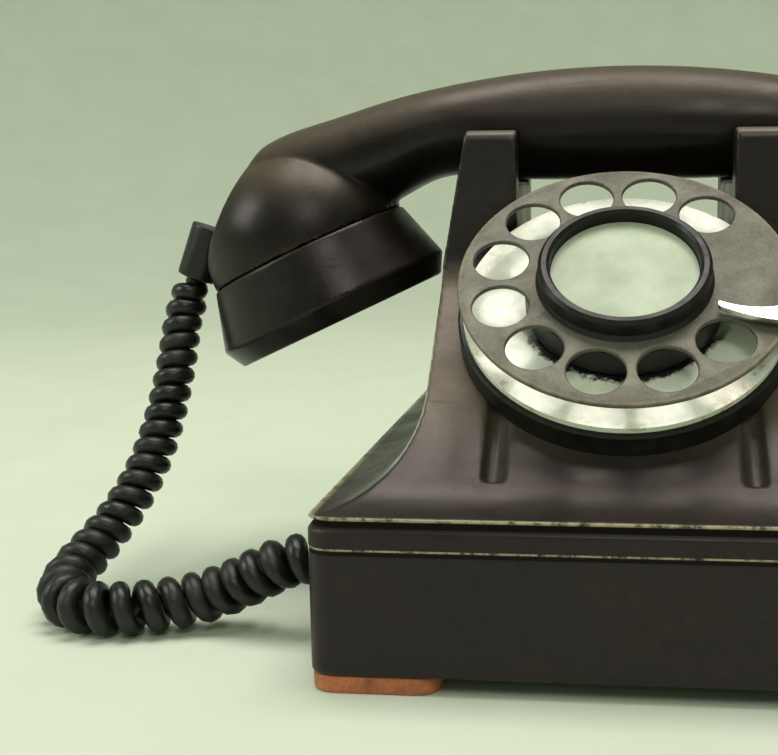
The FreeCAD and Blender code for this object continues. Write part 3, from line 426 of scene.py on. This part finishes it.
def moulded(node, name, look, voxel, rounds, keep=1.0):
    """A copy of a node whose sharp edges are softened as a moulding's are."""
    piece = copy_of(node, name, look)
    remesh = piece.modifiers.new("skin", "REMESH")
    remesh.mode = "VOXEL"
    remesh.voxel_size = voxel * MM
    smooth = piece.modifiers.new("soften", "SMOOTH")
    smooth.factor = 0.5
    smooth.iterations = rounds
    if keep < 1:
        thin = piece.modifiers.new("thin", "DECIMATE")
        thin.ratio = keep
    baked(piece)
    piece.data.polygons.foreach_set("use_smooth", [True] * len(piece.data.polygons))
    return piece


def softened(node, name, look, width, flat=1.0, turn=35.0):
    """A copy of a turned or stamped node with a small rounded bevel on its sharp edges."""
    piece = copy_of(node, name, look)
    work = bmesh.new()
    work.from_mesh(piece.data)
    bmesh.ops.remove_doubles(work, verts=work.verts, dist=0.002 * MM)
    bmesh.ops.dissolve_limit(work, angle_limit=math.radians(flat), verts=work.verts, edges=work.edges)
    work.to_mesh(piece.data)
    work.free()
    bevel = piece.modifiers.new("edge", "BEVEL")
    bevel.width = width * MM
    bevel.segments = 3
    bevel.limit_method = "ANGLE"
    bevel.angle_limit = math.radians(turn)
    bevel.harden_normals = False
    baked(piece)
    piece.data.polygons.foreach_set("use_smooth", [True] * len(piece.data.polygons))
    piece.data.set_sharp_from_angle(angle=math.radians(40))
    return piece


def stands_for(piece, body, *names):
    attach(piece, body)
    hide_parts(*names)
    return piece


# ---------------------------------------------------------------- cord

CORD_ROUTE = [
    (-68.3, -57.5, 19.6), (-76.6, -57.5, 19.6), (-84.2, -56, 16), (-91.6, -54.4, 11.8),
    (-100, -53.8, 8.2), (-108.4, -56.8, 6.9), (-117, -60.4, 6.8), (-127.4, -61.8, 6.8),
    (-136.4, -56, 7), (-140, -45.8, 9), (-136.2, -35.6, 14.6), (-130.8, -27.2, 23),
    (-126.6, -18.8, 34), (-124.1, -11.8, 47.2), (-122.8, -6.4, 60), (-122.3, -2.6, 70),
    (-121, -0.4, 76), (-118.9, 0, 81.4),
]
WIRE = 4.9         # thickness of the cord's wire, mm
TURN_STEPS = 18    # points in each turn of the helix
RING = 12          # points round the wire
LEAD_IN = 4.0      # length over which the coil opens out at each end, mm


def route_line(points):
    """Points along the smooth spline that the route's points steer."""
    data = bpy.data.curves.new("route", "CURVE")
    data.dimensions = "3D"
    data.resolution_u = 32
    spline = data.splines.new("NURBS")
    spline.points.add(len(points) - 1)
    for control, point in zip(spline.points, points):
        control.co = (*(Vector(point) * MM), 1)
    spline.order_u = 3
    spline.use_endpoint_u = True
    holder = bpy.data.objects.new("route", data)
    scene.collection.objects.link(holder)
    mesh = bpy.data.meshes.new_from_object(holder)
    line = [v.co.copy() for v in mesh.vertices]
    bpy.data.objects.remove(holder)
    bpy.data.meshes.remove(mesh)
    return line


def evenly(line, step):
    """The line resampled every step metres."""
    out, left = [line[0].copy()], step
    for a, b in zip(line, line[1:]):
        run = (b - a).length
        while run > 1e-12 and left <= run:
            a = a.lerp(b, left / run)
            run -= left
            left = step
            out.append(a.copy())
        left -= run
    return out


def frames_along(line):
    """At each point its tangent and two normals that don't twist."""
    tangents = [
        (line[min(i + 1, len(line) - 1)] - line[max(i - 1, 0)]).normalized()
        for i in range(len(line))
    ]
    normal = tangents[0].orthogonal().normalized()
    out = []
    for tangent in tangents:
        normal = (normal - tangent * normal.dot(tangent)).normalized()
        out.append((tangent, normal, tangent.cross(normal)))
    return out


def between(x, places, values):
    """Values at places, joined by straight lines."""
    for a, b, low, high in zip(places, places[1:], values, values[1:]):
        if x <= b:
            return low + (high - low) * max(0.0, (x - a) / (b - a))
    return values[-1]


def coiled(line):
    """The cord's own centreline: a helix round the line, wider and looser on the floor."""
    fine = evenly(line, 0.1 * MM)
    axes = frames_along(fine)
    total = 0.1 * (len(fine) - 1)
    phase, out, last = 0.0, [], None
    for i, (point, (_, n, b)) in enumerate(zip(fine, axes)):
        s = 0.1 * i
        share = s / total
        radius = between(share, (0, 0.1, 0.42, 0.6, 1), (3.6, 4.2, 4.2, 3.5, 2.9))
        pitch = between(share, (0, 0.4, 0.55, 1), (5.9, 5.9, 5.2, 4.95))
        fade = min(1.0, s / LEAD_IN, (total - s) / LEAD_IN)
        radius *= fade * fade * (3 - 2 * fade)
        phase += 2 * math.pi * 0.1 / pitch
        if last is None or phase - last >= 2 * math.pi / TURN_STEPS or i == len(fine) - 1:
            out.append(point + (n * math.cos(phase) + b * math.sin(phase)) * radius * MM)
            last = phase
    return out


def tube(name, line, radius, look):
    """A closed round tube along the line."""
    verts, faces = [], []
    for point, (_, n, b) in zip(line, frames_along(line)):
        for k in range(RING):
            a = 2 * math.pi * k / RING
            verts.append(point + (n * math.cos(a) + b * math.sin(a)) * radius)
    for i in range(len(line) - 1):
        for k in range(RING):
            q, r = i * RING + k, i * RING + (k + 1) % RING
            faces.append((q, r, r + RING, q + RING))
    faces.append(tuple(reversed(range(RING))))
    faces.append(tuple(range(len(verts) - RING, len(verts))))
    mesh = bpy.data.meshes.new(name)
    mesh.from_pydata(verts, [], faces)
    return new_piece(name, mesh, look)


def add_cord(look):
    route = route_line(CORD_ROUTE)
    helix = coiled(route)
    cord = tube("handset_curly_cord", helix, WIRE * MM / 2, look)
    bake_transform(cord)
    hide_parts("handset_cord")


# ---------------------------------------------------------------- studio

PAPER = (0.60, 0.665, 0.545)
FLOOR_FLAT, FLOOR_EDGE, WALL_TOP = 0.75, 1.75, 1.6  # metres


def add_studio():
    """A pale paper dish that curves up all round, one big soft light above and two weak fills."""
    look = Look("studio_paper", IOR=1.4)
    tone = look.spread(look.noise(60, 5, 0.6), 0.3, 0.75)
    look.colour(look.mix(tone, PAPER, tuple(c * 0.93 for c in PAPER)))
    look.roughness(look.spread(tone, 0, 1, 0.8, 0.9))
    look.bump(look.noise(2.5, 3), 0.06)
    profile = [(0.0, 0.0), (FLOOR_FLAT, 0.0)]
    bend = FLOOR_EDGE - FLOOR_FLAT
    for k in range(1, 13):
        a = math.pi / 2 * k / 12
        profile.append((FLOOR_FLAT + bend * math.sin(a), bend * (1 - math.cos(a))))
    profile.append((FLOOR_EDGE, WALL_TOP))
    sides = 96
    turn = 2 * math.pi / sides
    work = bmesh.new()
    centre = work.verts.new((0, 0, 0))
    rings = []
    for r, z in profile[1:]:
        rings.append([
            work.verts.new((r * math.cos(turn * k), r * math.sin(turn * k), z))
            for k in range(sides)
        ])
    for k in range(sides):
        n = (k + 1) % sides
        work.faces.new((centre, rings[0][k], rings[0][n]))
        for low, high in zip(rings, rings[1:]):
            work.faces.new((low[k], high[k], high[n], low[n]))
    mesh = bpy.data.meshes.new("studio_floor")
    work.to_mesh(mesh)
    work.free()
    new_piece("studio_floor", mesh, look)
    world = bpy.data.worlds.new("studio_air")
    world.use_nodes = True
    sky = world.node_tree.nodes["Background"]
    sky.inputs["Color"].default_value = (0.90, 0.97, 0.88, 1)
    sky.inputs["Strength"].default_value = 0.42
    scene.world = world
    add_light("overhead", (0.0, 0.04, 1.25), (0, -0.02, 0.0), (0.9, 0.6), 12.0, (1.0, 0.94, 0.85))
    add_light("left_fill", (-1.1, -0.35, 0.75), (0, 0, 0.07), (0.5, 0.5), 5.0, (0.95, 1.0, 0.92))
    add_light("front_fill", (0.15, -0.95, 1.0), (0, -0.04, 0.07), (0.4, 0.4), 3.0, (1.0, 0.98, 0.9))


def add_light(name, at, to, size, power, colour):
    data = bpy.data.lights.new(name, "AREA")
    data.shape = "RECTANGLE"
    data.size, data.size_y = size
    data.energy = power
    data.color = colour
    lamp = bpy.data.objects.new(name, data)
    lamp.location = at
    lamp.rotation_euler = (Vector(to) - Vector(at)).to_track_quat("-Z", "Y").to_euler()
    scene.collection.objects.link(lamp)


# ---------------------------------------------------------------- assembly

add_camera()

rubber = cord_rubber("cord_rubber")
boot = stands_for(moulded("handset_cord_boot", "cord_boot_moulding", rubber, 0.4, 16),
                  "handset", "handset_cord_boot")
add_cord(rubber)

# Both mouldings take the painted sheen on upward faces: above 47 mm on the housing, above 96 mm on the
# handset's top.
body_bakelite = bakelite(
    "housing_bakelite", (0.0095, 0.0072, 0.0085), (0.125, 0.105, 0.068), 47, cove_reflection=True,
    shaded_grooves=((36.8, 1.0), (30.7, 0.6)), lip_highlights=((38.1, 0.45), (31.5, 0.25)),
)
grip_bakelite = bakelite("handset_bakelite", (0.0028, 0.0022, 0.0018), (0.070, 0.054, 0.032), 96)
enamel_black = black_enamel("black_enamel")
wheel_look = wheel_metal("wheel_satin")
plate_look = enamel_plate("white_enamel")
card_look = card_paper("blank_card")
bright = metal(
    "bright_nickel", (0.82, 0.84, 0.78), (0.62, 0.63, 0.55), 0.16, tarnish=(0.35, 0.28, 0.18),
)
steel = metal(
    "bare_steel", (0.50, 0.50, 0.48), (0.34, 0.33, 0.31), 0.34, (1, 4, 1), tarnish=(0.20, 0.12, 0.07),
)
screw_steel = metal("screw_steel", (0.56, 0.55, 0.52), (0.36, 0.35, 0.33), 0.28, cloud=2.0)
spring_steel = metal("spring_steel", (0.44, 0.45, 0.47), (0.25, 0.26, 0.29), 0.22, cloud=3.0)
brass = metal("aged_brass", (0.66, 0.47, 0.20), (0.42, 0.28, 0.11), 0.26, tarnish=(0.16, 0.10, 0.05))
bell = metal(
    "bell_nickel", (0.74, 0.72, 0.64), (0.55, 0.52, 0.44), 0.18, cloud=12.0, tarnish=(0.34, 0.26, 0.15),
)
tin = metal(
    "tinned_can", (0.60, 0.60, 0.57), (0.43, 0.43, 0.41), 0.38, cloud=9.0, tarnish=(0.28, 0.24, 0.18),
)
magnet = metal(
    "magnet_steel", (0.20, 0.19, 0.19), (0.11, 0.10, 0.10), 0.48, cloud=5.0, tarnish=(0.16, 0.08, 0.05),
)
wire = wound_wire("copper_winding")
fibre = board("red_fibre", (0.24, 0.075, 0.045), (0.15, 0.045, 0.03))
hide = leather("foot_leather")

LOOKS = {
    "base_plate": enamel_black, "base_screws": screw_steel, "capsule_contact_plates": brass,
    "card_backing": steel, "card_retainer": enamel_black, "clapper": brass,
    "clapper_pin": screw_steel, "condenser": tin, "cradle_plungers": grip_bakelite,
    "dial_back_plate": brass, "dial_bezel": enamel_black, "dial_frame": tin,
    "dial_pillars": brass, "dial_return_spring": spring_steel, "dial_shaft": steel,
    "finger_stop": bright, "finger_wheel": wheel_look, "wheel_hub": enamel_black, "foot_pads": hide,
    "foot_studs": screw_steel, "gong_left": bell, "gong_posts": steel, "gong_right": bell,
    "gong_screws": screw_steel, "governor_cup": brass, "governor_pinion": steel,
    "governor_rotor": brass, "handset_cord_boot": rubber, "handset_cord_grommet": rubber,
    "hook_spring": spring_steel, "hook_yoke": steel, "housing": body_bakelite,
    "handset_shell": grip_bakelite, "induction_core": steel, "induction_winding": wire,
    "line_cord_inlet": rubber, "main_gear": brass, "number_card": card_look,
    "number_plate": plate_look, "plunger_bushes": brass, "pulse_cam": fibre,
    "pulse_contacts": spring_steel, "pulse_pinion": steel, "pulse_shaft": steel,
    "receiver_cap": grip_bakelite, "receiver_capsule": tin, "ringer_cores": steel,
    "ringer_frame": steel, "ringer_magnet": magnet, "ringer_windings": wire,
    "switch_bracket": steel, "switch_contacts": spring_steel, "terminal_block": fibre,
    "terminal_screws": brass, "train_gear": brass, "transmitter_cap": grip_bakelite,
    "transmitter_capsule": tin,
}
for name, look in LOOKS.items():
    data = nodes[name].data
    if not data.materials:
        data.materials.append(look.material)
    for held in nodes[name].material_slots:
        held.material = look.material


def replace_moulding(node, name, body, look, voxel, rounds, keep=1.0):
    stands_for(moulded(node, name, look, voxel, rounds, keep), body, node)


def replace_metalwork(node, name, body, look, width):
    stands_for(softened(node, name, look, width), body, node)


replace_moulding("housing", "housing_moulding", "base", body_bakelite, 0.6, 5, 0.4)
replace_moulding("handset_shell", "handset_moulding", "handset", grip_bakelite,
                 0.65, 7, 0.5)
for side in ("transmitter", "receiver"):
    replace_moulding(f"{side}_cap", f"{side}_cap_moulding", "handset", grip_bakelite,
                     0.5, 5, 0.5)
replace_moulding("foot_pads", "leather_feet", "base", hide, 0.4, 10, 0.5)
replace_metalwork("finger_wheel", "pierced_wheel", "dial_wheel", wheel_look, 0.35)
replace_metalwork("finger_stop", "hooked_stop", "base", bright, 0.3)

add_studio()
scene.view_settings.view_transform = "Standard"
